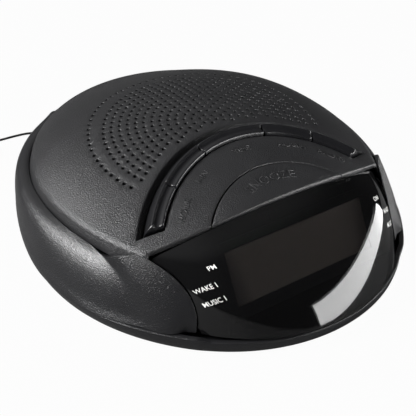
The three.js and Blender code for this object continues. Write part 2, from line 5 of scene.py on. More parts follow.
import bmesh
import bpy
import numpy as np
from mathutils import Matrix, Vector
from mathutils.geometry import delaunay_2d_cdt


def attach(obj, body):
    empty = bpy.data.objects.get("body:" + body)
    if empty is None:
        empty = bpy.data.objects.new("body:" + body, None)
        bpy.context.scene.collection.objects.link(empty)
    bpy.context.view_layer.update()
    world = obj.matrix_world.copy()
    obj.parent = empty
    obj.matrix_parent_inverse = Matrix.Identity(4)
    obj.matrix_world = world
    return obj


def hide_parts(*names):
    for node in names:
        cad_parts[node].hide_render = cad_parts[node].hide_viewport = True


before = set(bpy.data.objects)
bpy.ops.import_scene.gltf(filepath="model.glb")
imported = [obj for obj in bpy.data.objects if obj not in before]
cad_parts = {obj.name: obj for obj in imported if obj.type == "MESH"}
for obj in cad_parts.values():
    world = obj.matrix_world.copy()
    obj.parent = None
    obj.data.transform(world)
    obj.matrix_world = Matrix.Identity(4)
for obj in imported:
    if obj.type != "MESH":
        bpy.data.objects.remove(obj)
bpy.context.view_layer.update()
scene = bpy.context.scene
MM = 0.001
SHIFT = -6.9  # from the dimensions below to the finished part, along Y

# ------------------------------------------------------------------ camera
FOCAL = 64.9
EYE = (-170.5, -255.6, 220.4)
AIM = (-41.0, -60.2, 57.5)


def build_camera():
    data = bpy.data.cameras.new("view")
    data.lens = FOCAL
    data.sensor_width = 36.0
    data.clip_start = 0.01
    camera = bpy.data.objects.new("view", data)
    scene.collection.objects.link(camera)
    camera.location = Vector(EYE) * MM
    look = (Vector(AIM) - Vector(EYE)).to_track_quat("-Z", "Y")
    camera.rotation_euler = look.to_euler()
    scene.camera = camera


build_camera()

# -------------------------------------------------- dimensions, in millimetres
GAP = 0.4
WALL = 2.2
FOOT = 2.5  # the case's underside
HEIGHT = 57.5
EDGE = (78.2, 100.0, 79.3, 19.4)  # the dome's edge: half width, front, back, centre
WAIST = (89.0, 95.5, 97.5, 8.1)  # the sides' bulge
BASE = (88.0, 96.0, 91.0, 5.0)
WALL_OUT = 2.0  # the wall under the dome's edge leans out by this
WALL_DROP = 6.0  # and is this high
PROUD = 2.2  # the sides stand out by this
SHOULDER = 3.5  # how far the cheeks swell out below the cover
SHOULDER_END = 0.5  # the share of their height that this takes up
RIM_FOOT = 6.4
RIM_SIDE = 9.4  # height of the base rim at the sides
RIM_FRONT = 7.8  # and under the lens
CROWN_Y = 27.8  # highest point of the dome
CROWN = 0.00268  # its curvature
CROWN_LIFT = 1.35e-5  # raises its front
CROWN_FLAT = 4.4e-8
ARC_Y = -77.1  # centre of the keys' arcs
SNOOZE_R = 46.5
KEY_IN = 65.0
MOAT_OUT = 76.4
KEY_ENDS = (-50.6, -34.3, -14.2, 14.2, 34.3, 50.6)  # in degrees
CHANNEL_END = 51.4
SPLAY = 0.27  # the row's ends splay out by this, in degrees for each mm
KEY_NAMES = ("hour", "minute", "time", "alarm", "radio")
BROW_X = 61.0  # front edge of the dome: half width
BROW_Y = -49.2
BROW_BEND = 0.00226
LIP_R = 69.0  # arc of the lens's lower edge
LIP_Y = -23.0
LIP_X = 54.0
LIP_Z = 9.2
LENS_T = 1.6
LENS_LOW = 1.5  # the lens's upper edge lies this far under the brow
LENS_CORNER = 1.2  # and its upper corners are this much lower again
OUTLET_Z = 15.5
GLAND_X = 28.0
WIRE_X = -27.0
SWITCH_TOP = 34.4  # a key's stem ends here


# --------------------------------------------------------- the body's shape
def dome(x, y):
    u = y - CROWN_Y
    bowl = CROWN * (x * x + u * u)
    return HEIGHT - bowl + CROWN_LIFT * (x * x * u - u**3) + CROWN_FLAT * (x**4 - u**4)


def brow_y(x):
    return BROW_Y + BROW_BEND * x * x


def on_outline(outline, angle, grow=0.0):
    """Plan position at an angle from the front round by the left, in radians."""
    half, front, back, centre = outline
    reach = np.where(np.cos(angle) > 0, front, back) + grow
    return -(half + grow) * np.sin(angle), centre - reach * np.cos(angle)


def edge_z(angle):
    return 37.3 - 1.5 * np.cos(angle) - 3.4 * np.cos(angle) ** 3


def waist_z(angle):
    return 16 - 12.5 * np.cos(angle) + 2 * np.cos(angle) ** 2


def smooth(value, low, high):
    t = np.clip((value - low) / (high - low), 0, 1)
    return t * t * (3 - 2 * t)


def from_front(angle):
    """Degrees away from the front, to either side."""
    return np.degrees(np.abs((angle + np.pi) % (2 * np.pi) - np.pi))


def rim_top(angle):
    return RIM_SIDE + (RIM_FRONT - RIM_SIDE) * (1 - smooth(from_front(angle), 36, 40))


def proud(angle):
    """How far the sides stand out, fading away towards the middle of the rear."""
    return PROUD * (1 - smooth(from_front(angle), 150, 172))


def cover_z(x, y):
    """Height of the dome, bent to meet its edge's own height."""
    half, front, back, centre = EDGE
    along = (centre - y) / np.where(y < centre, front, back)
    reach = np.minimum(np.hypot(x / half, along), 1)
    angle = np.arctan2(np.abs(x) / half, along)
    rim = dome(*on_outline(EDGE, angle))
    return dome(x, y) + (edge_z(angle) - rim) * reach**8


# --------------------------------------------------------------- mesh tools
def add_mesh(name, points, faces, sharp=38.0):
    """A piece from points in mm; faces are turned outwards, edges sharp by angle."""
    placed = (np.asarray(points, float) + (0, SHIFT, 0)) * MM
    mesh = bpy.data.meshes.new(name)
    mesh.from_pydata(placed.tolist(), [], [list(map(int, f)) for f in faces])
    mesh.validate()
    obj = bpy.data.objects.new(name, mesh)
    scene.collection.objects.link(obj)
    turn_out(obj)
    shade(obj, sharp)
    return obj


def turn_out(obj):
    work = bmesh.new()
    work.from_mesh(obj.data)
    bmesh.ops.recalc_face_normals(work, faces=work.faces)
    work.to_mesh(obj.data)
    work.free()


def shade(obj, sharp):
    """Smooth shading, with edges sharper than this angle kept."""
    mesh = obj.data
    mesh.polygons.foreach_set("use_smooth", [True] * len(mesh.polygons))
    mesh.set_sharp_from_angle(angle=math.radians(sharp))


def strips(rings, count):
    """Quads between rings, each with the same count of points."""
    return [
        (k * count + i, k * count + (i + 1) % count,
         (k + 1) * count + (i + 1) % count, (k + 1) * count + i)
        for k in range(rings - 1) for i in range(count)
    ]


def loft(rings, fan=True):
    """Points and faces of a stack of rings, closed at both ends."""
    rings = np.asarray(rings, float)
    total, count = rings.shape[:2]
    points = rings.reshape(-1, 3)
    faces = strips(total, count)
    for k in (0, total - 1):
        if fan:
            points = np.vstack([points, rings[k].mean(0)])
            hub = len(points) - 1
            faces += [(hub, k * count + i, k * count + (i + 1) % count)
                      for i in range(count)]
        else:
            faces.append(tuple(k * count + i for i in range(count)))
    return points, faces


def block(width, depth, height, x, y, z, turn=0.0):
    """Points and faces of a box on its underside's middle, turned about Z."""
    corners = np.array([(-1, -1), (1, -1), (1, 1), (-1, 1)]) * (width / 2, depth / 2)
    c, s = math.cos(turn), math.sin(turn)
    plan = corners @ np.array([(c, s), (-s, c)]) + (x, y)
    rings = [np.column_stack([plan, np.full(4, level)]) for level in (z, z + height)]
    return loft(rings, fan=False)


def merge(*parts):
    points, faces, start = [], [], 0
    for p, f in parts:
        points.append(np.asarray(p))
        faces += [tuple(i + start for i in face) for face in f]
        start += len(p)
    return np.vstack(points), faces


def skin(surface, thickness, across, along):
    """Points and faces of a closed shell behind surface(u, v)."""
    u, v = np.meshgrid(np.linspace(0, 1, across + 1), np.linspace(0, 1, along + 1),
                       indexing="ij")
    step = 1e-3
    du, dv = np.where(u > 0.5, -step, step), np.where(v > 0.5, -step, step)
    here = surface(u, v)
    to_u = (surface(u + du, v) - here) * np.sign(du)[..., None]
    to_v = (surface(u, v + dv) - here) * np.sign(dv)[..., None]
    normal = np.cross(to_u, to_v)
    normal /= np.linalg.norm(normal, axis=-1, keepdims=True)
    points, faces = [], []
    for lead in thickness:
        points.append((here + normal * lead).reshape(-1, 3))
    row, size = along + 1, (across + 1) * (along + 1)
    for i in range(across):
        for j in range(along):
            a = i * row + j
            faces.append((a, a + row, a + row + 1, a + 1))
            faces.append((size + a, size + a + 1, size + a + row + 1, size + a + row))
    border = [(i * row, (i + 1) * row) for i in range(across)]
    border += [(across * row + j, across * row + j + 1) for j in range(along)]
    border += [((i + 1) * row + along, i * row + along) for i in reversed(range(across))]
    border += [(j + 1, j) for j in reversed(range(along))]
    faces += [(a, b, b + size, a + size) for a, b in border]
    return np.vstack(points), faces


def cut(obj, *tools):
    """Takes the tools out of a piece, and removes them."""
    for tool in tools:
        step = obj.modifiers.new("cut", "BOOLEAN")
        step.operation = "DIFFERENCE"
        step.solver = "EXACT"
        step.object = tool
    done = bpy.data.meshes.new_from_object(
        obj.evaluated_get(bpy.context.evaluated_depsgraph_get()))
    obj.modifiers.clear()
    obj.data = done
    for tool in tools:
        bpy.data.objects.remove(tool)


def largest_part(obj):
    """Keeps the largest connected body of a piece."""
    mesh = obj.data
    parent = list(range(len(mesh.vertices)))

    def root(i):
        while parent[i] != i:
            parent[i] = parent[parent[i]]
            i = parent[i]
        return i

    for e in mesh.edges:
        parent[root(e.vertices[0])] = root(e.vertices[1])
    roots = [root(i) for i in range(len(parent))]
    best = max(set(roots), key=roots.count)
    work = bmesh.new()
    work.from_mesh(mesh)
    work.verts.ensure_lookup_table()
    gone = [v for v in work.verts if roots[v.index] != best]
    bmesh.ops.delete(work, geom=gone, context="VERTS")
    work.to_mesh(mesh)
    work.free()


def plate(rims, top, bottom, inside, pitch, reach):
    """A curved plate: a triangulated upper and lower face joined by its rims.

    Each rim is levels of points, from a loop on the upper face to one on the lower.
    """
    loops = [rim[0] for rim in rims]
    plan, edges, owner, start = [], [], [], 0
    for k, loop in enumerate(loops):
        plan.append(loop[:, :2])
        edges += [(start + i, start + (i + 1) % len(loop)) for i in range(len(loop))]
        owner += [k] * len(loop)
        start += len(loop)
    border = np.vstack(plan)
    grid = []
    rows = int(2 * reach / (pitch * 0.866)) + 1
    for j in range(rows):
        x = np.arange(-reach, reach, pitch) + (0.5 * pitch if j % 2 else 0)
        grid.append(np.column_stack([x, np.full(len(x), -reach + j * pitch * 0.866)]))
    grid = np.vstack(grid)
    grid = grid[inside(grid[:, 0], grid[:, 1])]
    nearest = np.concatenate([
        np.sqrt(((part[:, None] - border[None]) ** 2).sum(-1)).min(1)
        for part in np.array_split(grid, max(1, len(grid) // 400))])
    grid = grid[nearest > 0.5 * pitch]
    flat = np.vstack([border, grid])
    found, _, triangles, origin, _, _ = delaunay_2d_cdt(
        [Vector(p) for p in flat], edges, [], 0, 1e-5)
    to_input = [ids[0] if ids else -1 for ids in origin]
    owner = owner + [-1] * len(grid)
    upper = []
    for triangle in triangles:
        ids = [to_input[i] for i in triangle]
        if min(ids) < 0:
            continue
        kinds = {owner[i] for i in ids}
        middle = flat[ids].mean(0)
        if len(kinds) == 1 and kinds != {-1} and min(kinds) >= 2:
            continue
        if inside(np.array([middle[0]]), np.array([middle[1]]))[0]:
            upper.append(tuple(ids))
    size = len(flat)
    points_up = np.column_stack([flat, top(flat[:, 0], flat[:, 1])])
    points_down = np.column_stack([flat, bottom(flat[:, 0], flat[:, 1])])
    first = 0
    for rim in rims:
        points_up[first:first + len(rim[0])] = rim[0]
        points_down[first:first + len(rim[0])] = rim[-1]
        first += len(rim[0])
    points = [points_up, points_down]
    faces = list(upper) + [tuple(size + i for i in reversed(f)) for f in upper]
    total, first = 2 * size, 0
    for rim in rims:
        count = len(rim[0])
        above = [first + i for i in range(count)]
        for k in range(1, len(rim)):
            if k == len(rim) - 1:
                below = [size + first + i for i in range(count)]
            else:
                below = [total + i for i in range(count)]
                points.append(rim[k])
                total += count
            faces += [(above[i], below[i], below[(i + 1) % count], above[(i + 1) % count])
                      for i in range(count)]
            above = below
        first += count
    return np.vstack(points), faces


# ---------------------------------------------------------- the aerial wire
WIRE_D = 1.3
WIRE_PATH = (
    (-27, 101.0, 15.5), (-27, 104, 15.1), (-27.2, 107.5, 13.2), (-27.7, 112.5, 9.2),
    (-28.5, 117.5, 4.6), (-29.5, 122.5, 1.7), (-31, 127.5, 0.75), (-33.5, 132.5, 0.7),
    (-37.5, 137, 0.7), (-43, 139.8, 0.7), (-50, 140.8, 0.7), (-58, 141.1, 0.7),
    (-65, 141.2, 0.7),
)
COIL_X, COIL_Y = -77.0, 131.6
COIL_TURNS = 19


def catmull(points, fine):
    points = np.asarray(points, float)
    padded = np.vstack([2 * points[0] - points[1], points, 2 * points[-1] - points[-2]])
    out = []
    for k in range(1, len(padded) - 2):
        p0, p1, p2, p3 = padded[k - 1:k + 3]
        for t in np.linspace(0, 1, fine, endpoint=False):
            out.append(0.5 * (2 * p1 + (p2 - p0) * t + (2 * p0 - 5 * p1 + 4 * p2 - p3) * t * t
                              + (3 * p1 - p0 - 3 * p2 + p3) * t**3))
    return np.vstack(out + [padded[-2]])


def wire_line():
    """The wire's route to the table and the coil that its spare length lies in."""
    columns = (9.2, 7.88, 6.56, 5.24)
    turns, start = [], math.radians(62)
    steps = 40
    for turn in range(COIL_TURNS):
        layer, place = divmod(turn, len(columns))
        order = columns if layer % 2 == 0 else columns[::-1]
        ahead_layer, ahead_place = divmod(turn + 1, len(columns))
        ahead = columns if ahead_layer % 2 == 0 else columns[::-1]
        z, z_next = 0.7 + 1.12 * layer, 0.7 + 1.12 * ahead_layer
        shift = 0.3 * (layer % 2)
        for i in range(steps):
            t = i / steps
            move = max(0.0, (t - 0.75) / 0.25)
            move = move * move * (3 - 2 * move)
            radius = order[place] + (ahead[ahead_place] - order[place]) * move - shift
            angle = start + 2 * math.pi * (turn + t)
            turns.append((COIL_X + radius * math.cos(angle),
                          COIL_Y + radius * math.sin(angle), z + (z_next - z) * move))
    return np.vstack([catmull(list(WIRE_PATH) + turns[:1], 8)[:-1], turns])


WIRE_SIDES = 10


def tube(line, radius):
    """Points and faces of a round tube along a line."""
    along = np.gradient(line, axis=0)
    along /= np.linalg.norm(along, axis=1, keepdims=True)
    side = np.array([1.0, 0.0, 0.0])
    angle = np.linspace(0, 2 * np.pi, WIRE_SIDES, endpoint=False)
    rings = []
    for p, t in zip(line, along):
        side = side - t * side.dot(t)
        side /= np.linalg.norm(side)
        up = np.cross(t, side)
        rings.append(p + radius * (np.outer(np.cos(angle), side)
                                   + np.outer(np.sin(angle), up)))
    return loft(rings)


def build_wire():
    line = wire_line()
    wire = add_mesh("aerial_lead", *tube(line, WIRE_D / 2), sharp=60)
    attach(wire, "case")
    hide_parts("aerial_wire", "aerial_coil")
    return wire


# ---------------------------------------------------------------- materials
def new_material(name):
    material = bpy.data.materials.new(name)
    material.use_nodes = True
    nodes, links = material.node_tree.nodes, material.node_tree.links
    return material, nodes, links, nodes["Principled BSDF"]


def finish_of(name, colour, roughness, metallic=0.0, tone=0.08, tone_scale=90.0,
              grain=0.0, grain_scale=2000.0, spread=0.06, specular=0.5, edge=0.0,
              coat=0.0):
    """A moulded or painted finish: slow tone changes, fine grain and soft edges."""
    material, nodes, links, shader = new_material(name)
    place = nodes.new("ShaderNodeTexCoord")
    slow = nodes.new("ShaderNodeTexNoise")
    slow.inputs["Scale"].default_value = tone_scale
    slow.inputs["Detail"].default_value = 5.0
    links.new(place.outputs["Object"], slow.inputs["Vector"])
    ramp = nodes.new("ShaderNodeValToRGB")
    ramp.color_ramp.elements[0].position = 0.3
    ramp.color_ramp.elements[1].position = 0.7
    ramp.color_ramp.elements[0].color = (*[c * (1 - tone) for c in colour], 1)
    ramp.color_ramp.elements[1].color = (*[min(c * (1 + tone), 1) for c in colour], 1)
    links.new(slow.outputs["Fac"], ramp.inputs["Fac"])
    links.new(ramp.outputs["Color"], shader.inputs["Base Color"])
    rough = nodes.new("ShaderNodeMapRange")
    rough.inputs["To Min"].default_value = max(roughness - spread, 0.02)
    rough.inputs["To Max"].default_value = min(roughness + spread, 1)
    links.new(slow.outputs["Fac"], rough.inputs["Value"])
    links.new(rough.outputs["Result"], shader.inputs["Roughness"])
    shader.inputs["Metallic"].default_value = metallic
    shader.inputs["Specular IOR Level"].default_value = specular
    shader.inputs["Coat Weight"].default_value = coat
    shader.inputs["Coat Roughness"].default_value = 0.08
    soft = None
    if edge:
        soft = nodes.new("ShaderNodeBevel")
        soft.samples = 4
        soft.inputs["Radius"].default_value = edge * MM
        links.new(soft.outputs["Normal"], shader.inputs["Normal"])
    if grain:
        fine = nodes.new("ShaderNodeTexNoise")
        fine.inputs["Scale"].default_value = grain_scale
        fine.inputs["Detail"].default_value = 2.0
        links.new(place.outputs["Object"], fine.inputs["Vector"])
        bump = nodes.new("ShaderNodeBump")
        bump.inputs["Strength"].default_value = grain
        bump.inputs["Distance"].default_value = 0.34 * MM
        links.new(fine.outputs["Fac"], bump.inputs["Height"])
        if soft:
            links.new(soft.outputs["Normal"], bump.inputs["Normal"])
        links.new(bump.outputs["Normal"], shader.inputs["Normal"])
    return material


def dress(obj, material):
    obj.data.materials.clear()
    obj.data.materials.append(material)


def clear_window(material, half, opacity):
    """Makes a finish see-through within half a width of the middle, in object space."""
    nodes, links = material.node_tree.nodes, material.node_tree.links
    place = nodes.new("ShaderNodeTexCoord")
    across = nodes.new("ShaderNodeSeparateXYZ")
    links.new(place.outputs["Object"], across.inputs["Vector"])
    away = nodes.new("ShaderNodeMath")
    away.operation = "ABSOLUTE"
    links.new(across.outputs["X"], away.inputs[0])
    edge = nodes.new("ShaderNodeMapRange")
    edge.interpolation_type = "SMOOTHSTEP"
    edge.inputs["From Min"].default_value = (half - 12) * MM
    edge.inputs["From Max"].default_value = (half + 4) * MM
    edge.inputs["To Min"].default_value = opacity
    edge.inputs["To Max"].default_value = 1.0
    links.new(away.outputs["Value"], edge.inputs["Value"])
    links.new(edge.outputs["Result"], nodes["Principled BSDF"].inputs["Alpha"])


case_finish = finish_of("case_plastic", (0.008, 0.008, 0.009), 0.33, grain=0.6,
                        edge=0.35)
cover_finish = finish_of("cover_plastic", (0.014, 0.014, 0.015), 0.36, grain=0.9,
                         edge=0.4)
key_finish = finish_of("key_plastic", (0.008, 0.008, 0.009), 0.26, grain=0.25)
inner_finish = finish_of("inner_plastic", (0.003, 0.003, 0.0032), 0.7, specular=0.15)
lens_finish = finish_of("smoked_lens", (0.004, 0.004, 0.0042), 0.04, tone=0.03,
                        tone_scale=30, spread=0.01, specular=0.5)
filter_finish = finish_of("brown_filter", (0.2, 0.14, 0.1), 0.5, tone=0.04,
                          tone_scale=40, coat=0.2)
display_finish = finish_of("display_body", (0.03, 0.02, 0.018), 0.4)
rubber_finish = finish_of("foot_rubber", (0.011, 0.011, 0.011), 0.8, grain=0.4,
                          grain_scale=1500)
board_finish = finish_of("board_green", (0.03, 0.11, 0.045), 0.45, tone=0.2,
                         tone_scale=220)
steel_finish = finish_of("plain_steel", (0.42, 0.42, 0.43), 0.34, metallic=1.0,
                         tone=0.06, tone_scale=300)
copper_finish = finish_of("lacquered_copper", (0.35, 0.12, 0.04), 0.4, metallic=0.6,
                          tone=0.2, tone_scale=700)
ferrite_finish = finish_of("ferrite", (0.03, 0.03, 0.032), 0.6, tone=0.15)
cone_finish = finish_of("cone_paper", (0.016, 0.015, 0.014), 0.85, grain=0.6,
                        grain_scale=900, tone=0.2)
part_finish = finish_of("component", (0.012, 0.012, 0.016), 0.45, tone=0.2,
                        tone_scale=400)
wire_finish = finish_of("wire_sleeve", (0.012, 0.012, 0.012), 0.42, tone=0.1,
                        tone_scale=400)
battery_finish = finish_of("battery_sleeve", (0.035, 0.04, 0.046), 0.4, tone=0.1,
                           tone_scale=120)
clear_window(lens_finish, 44.0, 0.58)
print_finish = finish_of("white_print", (0.72, 0.72, 0.7), 0.5, tone=0.03)

wire = build_wire()
wire.data.materials.append(wire_finish)


# ---------------------------------------------------------------- top cover
def snooze_corner(radius, ahead):
    """Half width at which an arc meets the brow's line, moved back by ahead."""
    low, high = 20.0, 45.0
    for _ in range(40):
        x = (low + high) / 2
        far = math.hypot(x, brow_y(x) + ahead - ARC_Y) > radius
        low, high = (low, x) if far else (x, high)
    return x


ARC_STEPS = 88
BROW_STEPS = 18
EDGE_STEPS = 170


def cover_front(offset, drop):
    """The cover's front edge from its left end to its right one."""
    radius = SNOOZE_R + offset
    corner = snooze_corner(radius, offset)
    turn = math.asin(corner / radius)
    side = np.linspace(-BROW_X, -corner, BROW_STEPS, endpoint=False)
    arc = np.linspace(-turn, turn, ARC_STEPS)
    x = np.concatenate([side, radius * np.sin(arc), -side[::-1]])
    y = np.concatenate([brow_y(side) + offset, ARC_Y + radius * np.cos(arc),
                        brow_y(side[::-1]) + offset])
    return np.column_stack([x, y, cover_z(x, y) + drop])


def cover_back(scale, grow, z_of):
    """A line of the cover's shoulder, from the brow's right end round the back."""
    half = EDGE[0] * scale + grow
    first = math.asin(BROW_X / half)
    angle = np.linspace(2 * np.pi - first, first, EDGE_STEPS)
    x, y = on_outline(EDGE, angle)
    x, y = x * scale, EDGE[3] + (y - EDGE[3]) * scale
    x -= grow * np.sin(angle)
    y -= grow * np.cos(angle)
    return np.column_stack([x, y, z_of(angle, x, y)])


COVER_REACH = 0.973  # the flat part of the cover ends at this share of its outline


def cover_outer_rim():
    skirt = [
        (COVER_REACH, 0.0, lambda a, x, y: cover_z(x, y)),
        (0.979, 0.0, lambda a, x, y: cover_z(x, y)),
        (0.985, 0.0, lambda a, x, y: cover_z(x, y)),
        (1.0, -0.2, lambda a, x, y: edge_z(a) + (cover_z(x, y) - edge_z(a)) * 0.2 - 0.25),
        (1.0, 0.25, lambda a, x, y: edge_z(a) - 0.75),
        (1.0, 0.55, lambda a, x, y: edge_z(a) - 1.5),
        (1.0, 1.0, lambda a, x, y: edge_z(a) - 2.9),
        (1.0, 1.9, lambda a, x, y: edge_z(a) - 5.6),
        (1.0, 1.85, lambda a, x, y: edge_z(a) - 5.95),
        (1.0, 1.5, lambda a, x, y: edge_z(a) - 6.0),
        (1.0, -0.1, lambda a, x, y: edge_z(a) - 6.0),
        (1.0, -1.8, lambda a, x, y: edge_z(a) - 3.4),
        (COVER_REACH, 0.0, lambda a, x, y: cover_z(x, y) - WALL),
    ]
    front = [(0.6, 0.0), (0.3, -0.06), (0.12, -0.2), (0.0, -0.45), (0.0, -0.8),
             (0.0, -1.2), (0.0, -1.6), (0.0, -1.9), (0.1, -2.1), (0.2, -2.15),
             (0.3, -2.2), (0.4, -2.2), (0.6, -WALL)]
    return [np.vstack([cover_front(*f), cover_back(*s)[1:-1]])
            for f, s in zip(front, skirt)]


def arc_point(radius, angle, lift):
    x, y = radius * np.sin(angle), ARC_Y + radius * np.cos(angle)
    return np.column_stack([x, y, cover_z(x, y) + lift])


def channel_rim():
    """The walls of the channel round the five keys; its far side is a slope."""
    inner = [(0.45, 0), (0.2, -0.05), (0.05, -0.2), (0, -0.45), (0, -1.2), (0, -2.2),
             (0, -3.0), (0.45, -WALL)]
    outer = [(0.3, 0), (0.05, -0.1), (-0.25, -0.4), (-0.8, -1.1), (-1.5, -2.0),
             (-2.2, -3.2), (-2.2, -3.8), (0.3, -WALL)]
    rim = []
    across = 9
    for (d_in, z_in), (d_out, z_out) in zip(inner, outer):
        near, far = KEY_IN - d_in, MOAT_OUT + d_out

        def end(radius):
            spread = CHANNEL_END + SPLAY * (radius - KEY_IN)
            return np.radians(spread) + d_in / radius

        sweep = np.linspace(-1, 1, 91)
        rows = [arc_point(near, sweep * end(near), z_in)]
        share = np.linspace(0, 1, across)[1:-1]
        radius = near + (far - near) * share
        lift = z_in + (z_out - z_in) * share**3
        rows.append(arc_point(radius, end(radius), lift))
        rows.append(arc_point(far, sweep[::-1] * end(far), z_out))
        rows.append(arc_point(radius[::-1], -end(radius[::-1]), lift[::-1]))
        rim.append(np.vstack(rows))
    return rim


HOLE_Y = 8.2  # centre of the rings
HOLE_R = 0.82
HOLE_PITCH = 3.73
HOLE_RINGS = 12
OUTER_RINGS = ((48.5, HOLE_Y, 78, 180), (54.5, HOLE_Y + 2.3, 84, 113))
KEYS_CLEAR = 80.0  # holes stay this far from the keys' centre


def hole_spots():
    """Where the sound holes are: twelve rings, and two part rings outside them."""
    spots = []
    for k in range(1, HOLE_RINGS + 1):
        radius = HOLE_PITCH * k
        for i in range(6 * k):
            a = 2 * math.pi * i / (6 * k)
            spots.append((radius * math.sin(a), HOLE_Y + radius * math.cos(a)))
    for radius, y, count, limit in OUTER_RINGS:
        for i in range(count):
            a = 2 * math.pi * i / count
            if math.degrees(min(a, 2 * math.pi - a)) <= limit:
                spots.append((radius * math.sin(a), y + radius * math.cos(a)))
    spots.append((0.0, HOLE_Y))
    return [p for p in spots if math.hypot(p[0], p[1] - ARC_Y) > KEYS_CLEAR]


def hole_rim(x, y):
    angle = np.linspace(0, -2 * np.pi, 12, endpoint=False)
    rim = []
    for grow, lift in ((0.16, 0), (0.05, -0.06), (0, -0.2), (0, -1.2), (0, -WALL)):
        px = x + (HOLE_R + grow) * np.cos(angle)
        py = y + (HOLE_R + grow) * np.sin(angle)
        rim.append(np.column_stack([px, py, cover_z(px, py) + lift]))
    return rim


def in_cover(x, y):
    half, front, back, centre = EDGE
    along = (centre - y) / np.where(y < centre, front, back)
    within = (np.hypot(x / half, along) < COVER_REACH) | ((np.abs(x) < BROW_X) & (y < -38))
    radius = np.hypot(x, y - ARC_Y)
    angle = np.abs(np.degrees(np.arctan2(x, y - ARC_Y)))
    end = CHANNEL_END + SPLAY * (radius - KEY_IN) + math.degrees(0.45 / 70)
    channel = (radius > KEY_IN - 0.45) & (radius < MOAT_OUT + 0.3) & (angle < end)
    snooze = radius < SNOOZE_R + 0.6
    front_part = (y > brow_y(x) + 0.6) | (np.abs(x) > BROW_X)
    return within & front_part & ~channel & ~snooze


def build_cover():
    spots = hole_spots()
    rims = [cover_outer_rim(), channel_rim()] + [hole_rim(*p) for p in spots]
    spots = np.array(spots)

    def inside(x, y):
        clear = in_cover(x, y)
        where = np.nonzero(clear)[0]
        if len(where) > 1:
            p = np.column_stack([x[where], y[where]])
            gap = np.sqrt(((p[:, None] - spots[None]) ** 2).sum(-1)).min(1)
            clear[where] = gap > HOLE_R + 0.9
        return clear

    shape = plate(rims, cover_z, lambda x, y: cover_z(x, y) - WALL, inside, 2.2, 110)
    cover = add_mesh("cover_shell", *shape, sharp=42)
    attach(cover, "case")
    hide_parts("top_cover")
    dress(cover, cover_finish)


# --------------------------------------------------------------------- keys
KEY_PROFILE = (
    (65.4, -3.0), (65.4, 0.6), (65.46, 1.25), (65.65, 1.66), (65.98, 1.82), (66.4, 1.74),
    (66.9, 1.5), (67.5, 1.32), (68.2, 1.3), (68.9, 1.55), (69.45, 2.02), (69.75, 2.4),
    (69.95, 2.6), (70.2, 2.66), (70.5, 2.52), (71.1, 2.05), (72.0, 1.25), (72.8, 0.38),
    (73.3, -0.4), (73.55, -1.2), (73.6, -2.0), (73.6, -3.0),
)
KEY_MIDDLE = (69.4, -0.6)
KEY_TRIM = 0.35  # the gap at each end, in degrees
STEM_R = 68.0


def build_keys():
    profile, middle = np.array(KEY_PROFILE), np.array(KEY_MIDDLE)
    for i, name in enumerate(KEY_NAMES):
        ends = [KEY_ENDS[i] + KEY_TRIM, KEY_ENDS[i + 1] - KEY_TRIM]
        splays = [-SPLAY if i == 0 else 0, SPLAY if i == len(KEY_NAMES) - 1 else 0]
        steps = int((ends[1] - ends[0]) / 1.2)
        shares = np.concatenate([[0, 0], np.linspace(0, 1, steps), [1, 1]])
        shrink = np.concatenate([[0.35, 0.12], np.zeros(steps), [0.12, 0.35]])
        nudge = np.concatenate([[0, 0.05, 0.3], np.zeros(steps - 2), [-0.3, -0.05, 0]])
        rings = []
        for share, less, move in zip(shares, shrink, nudge):
            inward = middle - profile
            far = np.linalg.norm(inward, axis=1, keepdims=True)
            section = profile + inward / far * less
            radius, lift = section[:, 0], section[:, 1]
            low = ends[0] + splays[0] * (radius - KEY_IN)
            high = ends[1] + splays[1] * (radius - KEY_IN)
            angle = np.radians(low + (high - low) * share + move)
            x, y = radius * np.sin(angle), ARC_Y + radius * np.cos(angle)
            rings.append(np.column_stack([x, y, dome(x, y) + lift]))
        turn = math.radians((KEY_ENDS[i] + KEY_ENDS[i + 1]) / 2)
        x, y = STEM_R * math.sin(turn), ARC_Y + STEM_R * math.cos(turn)
        stem = block(4, 3, dome(x, y) - 1 - SWITCH_TOP, x, y, SWITCH_TOP, -turn)
        key = add_mesh(f"cap_{name}", *merge(loft(rings, fan=False), stem), sharp=50)
        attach(key, f"key_{name}_body")
        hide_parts(f"key_{name}")
        dress(key, key_finish)


SNOOZE_T = 3.0
SNOOZE_EDGE = 0.75  # its rounded edge takes up this much
SNOOZE_STEM_Y = -38.0


def snooze_loop(inset, lift):
    """The snooze key's outline: the rear arc, then the brow from right to left."""
    radius = SNOOZE_R - GAP - inset
    corner = snooze_corner(radius, inset)
    turn = math.asin(corner / radius)
    arc = np.linspace(-turn, turn, 80)
    brow = np.linspace(corner, -corner, 60)[1:-1]
    x = np.concatenate([radius * np.sin(arc), brow])
    y = np.concatenate([ARC_Y + radius * np.cos(arc), brow_y(brow) + inset])
    return np.column_stack([x, y, dome(x, y) + lift])


def build_snooze():
    steps = [(SNOOZE_EDGE, 0.0), (0.45, -0.06), (0.2, -0.22), (0.04, -0.5), (0, -0.8),
             (0, -2.2), (0.15, -2.9), (SNOOZE_EDGE, -SNOOZE_T)]
    rim = [snooze_loop(*step) for step in steps]

    def inside(x, y):
        near = np.hypot(x, y - ARC_Y) < SNOOZE_R - GAP - SNOOZE_EDGE
        return near & (y > brow_y(x) + SNOOZE_EDGE)

    shape = plate([rim], dome, lambda x, y: dome(x, y) - SNOOZE_T, inside, 2.2, 60)
    height = dome(0, SNOOZE_STEM_Y) - 1 - SWITCH_TOP
    stem = block(5, 4, height, 0, SNOOZE_STEM_Y, SWITCH_TOP)
    key = add_mesh("snooze_bar", *merge(shape, stem), sharp=45)
    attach(key, "snooze_body")
    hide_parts("snooze_key")
    dress(key, cover_finish)


